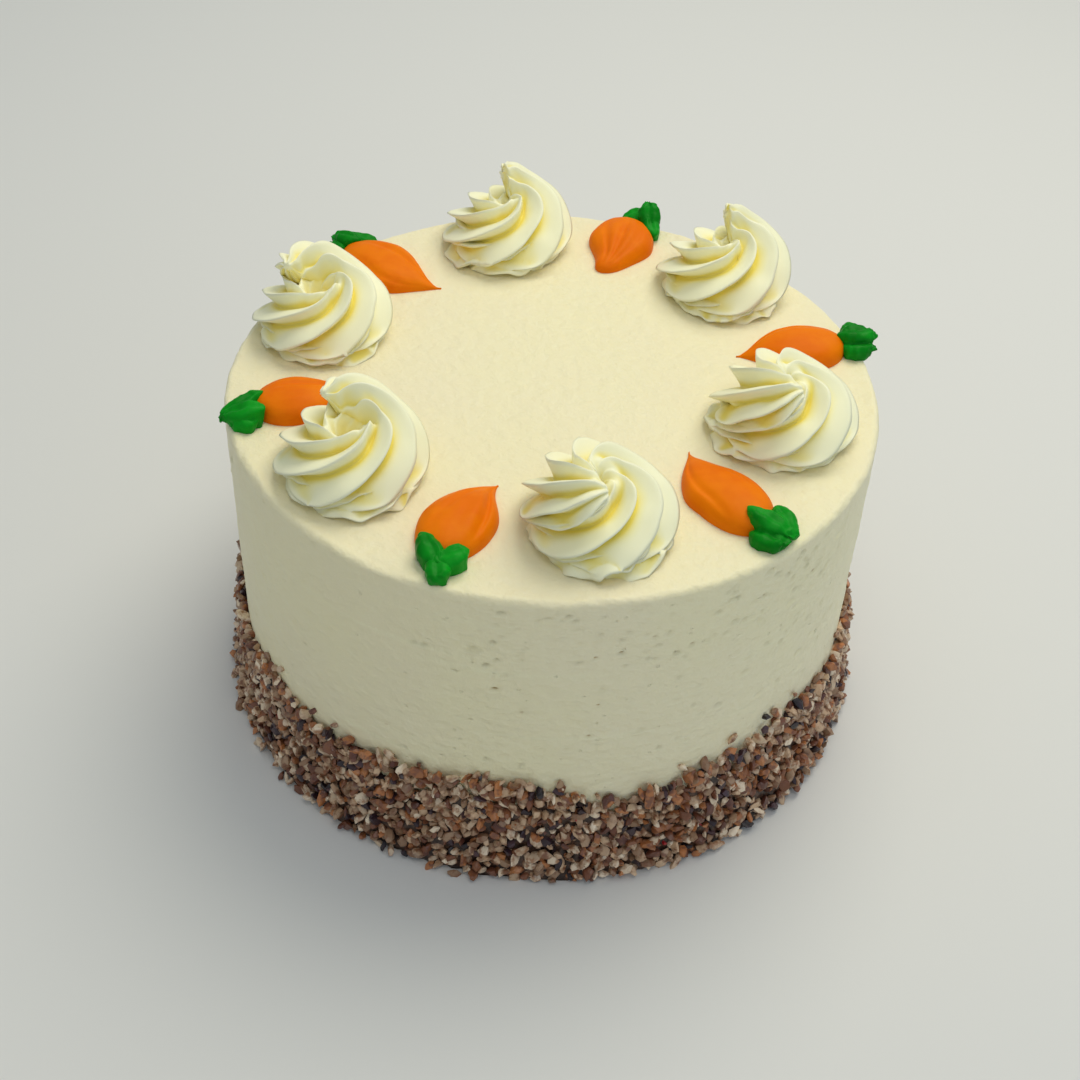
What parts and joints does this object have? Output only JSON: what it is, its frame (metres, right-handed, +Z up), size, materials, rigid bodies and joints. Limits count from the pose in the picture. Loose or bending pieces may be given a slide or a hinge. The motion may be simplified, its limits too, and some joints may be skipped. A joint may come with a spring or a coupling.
{
  "type": "carrot cake",
  "caption": "Whole round carrot cake with smooth cream icing, piped rosettes, small piped carrots with green tops, and a band of chopped nuts round the foot.",
  "frame": {"origin": "middle of the flat underside of the cake", "axes": "+Z up through the middle of the cake, -Y towards the front as seen, +X to the right of someone who looks at the front"},
  "size_m": [0.238, 0.2347, 0.1533],
  "materials": {
    "icing": "smooth, scraped cream cheese icing, satin",
    "piped_icing": "piped cream cheese icing, satin, crisp ridges",
    "orange_icing": "smooth orange icing, soft gloss",
    "green_icing": "smooth green icing, soft gloss",
    "nuts": "chopped nuts, matte, pale kernels and brown skins"
  },
  "bodies": {
    "root": {"cake": "icing", "rosette_1": "piped_icing", "rosette_2": "piped_icing", "rosette_3": "piped_icing", "rosette_4": "piped_icing", "rosette_5": "piped_icing", "rosette_6": "piped_icing", "carrot_a": "orange_icing", "carrot_top_a": "green_icing", "carrot_b": "orange_icing", "carrot_top_b": "green_icing", "carrot_c": "orange_icing", "carrot_top_c": "green_icing", "carrot_d": "orange_icing", "carrot_top_d": "green_icing", "carrot_e": "orange_icing", "carrot_top_e": "green_icing", "carrot_f": "orange_icing", "carrot_top_f": "green_icing"}
  },
  "joints": []
}
